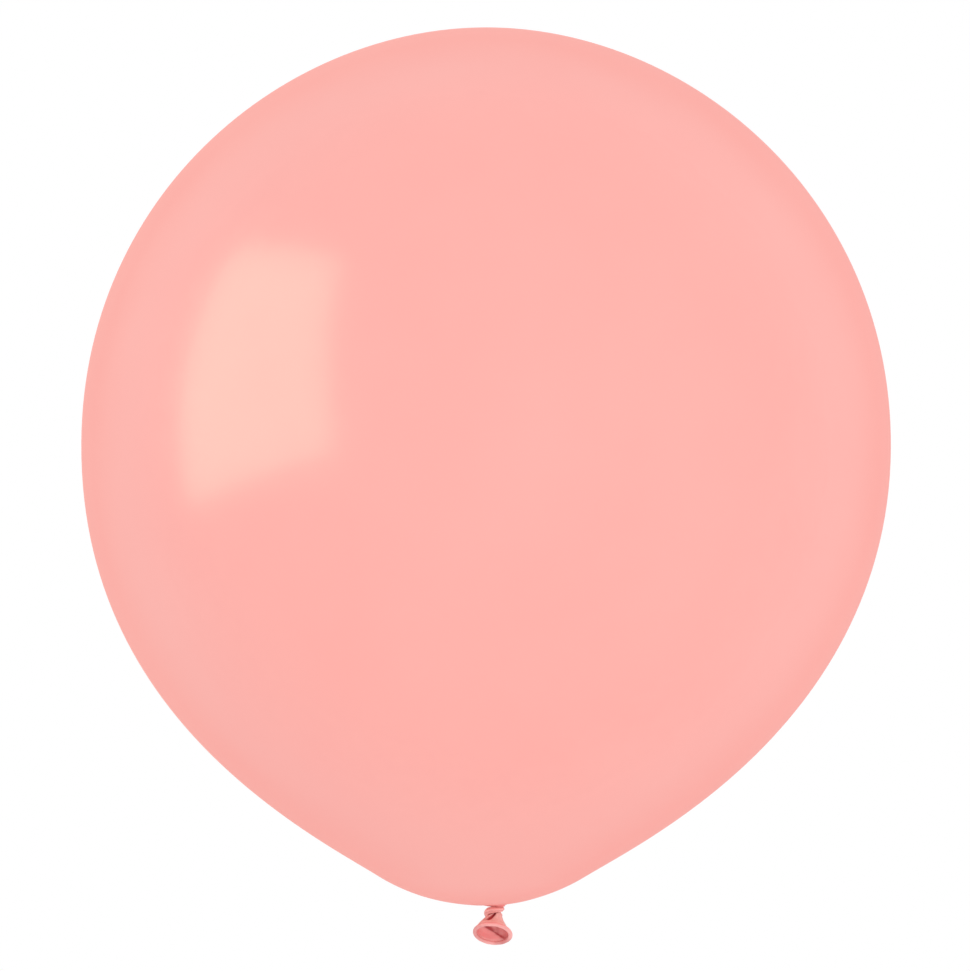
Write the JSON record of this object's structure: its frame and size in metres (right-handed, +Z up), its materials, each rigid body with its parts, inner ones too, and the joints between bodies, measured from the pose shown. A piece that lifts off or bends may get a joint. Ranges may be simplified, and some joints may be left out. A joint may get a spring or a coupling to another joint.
{
  "type": "latex balloon",
  "caption": "Round pink latex balloon, blown up and tied off with an overhand knot in its own neck; the knot and its open, rolled-lip tail bend and twist below the bubble.",
  "frame": {"origin": "middle of the pinched neck, between the bubble and the knot, where a ribbon is tied", "axes": "+Z up from the neck through the bubble to its crown, -Z down to the knot and tail; the tail's mouth leans towards -Y, the side that the picture shows; +X to the right in the picture"},
  "size_m": [0.48, 0.48, 0.5439],
  "materials": {
    "film": "gloss",
    "neck": "satin",
    "knot": "satin",
    "tail": "satin",
    "lip": "satin"
  },
  "bodies": {
    "bubble": {"bubble": "film", "throat": "neck"},
    "neck": {"neck_stem": "neck"},
    "knot": {"knot": "knot"},
    "tail": {"tail_funnel": "tail", "rolled_lip": "lip"}
  },
  "joints": [
    {"name": "neck_swing", "type": "hinge", "parent": "bubble", "child": "neck", "pos_m": [0, 0, 0], "axis": [0, 1, 0], "range_deg": [-10, 10], "stiffness_Nm_per_rad": 0.003},
    {"name": "knot_twist", "type": "hinge", "parent": "neck", "child": "knot", "pos_m": [0, 0, 0], "axis": [0, 0, 1], "range_deg": [-180, 180], "stiffness_Nm_per_rad": 0.001},
    {"name": "tail_bend", "type": "hinge", "parent": "knot", "child": "tail", "pos_m": [0.0003, -0.0025, -0.0067], "axis": [-1, 0, 0], "range_deg": [-36, 18], "stiffness_Nm_per_rad": 0.002}
  ]
}
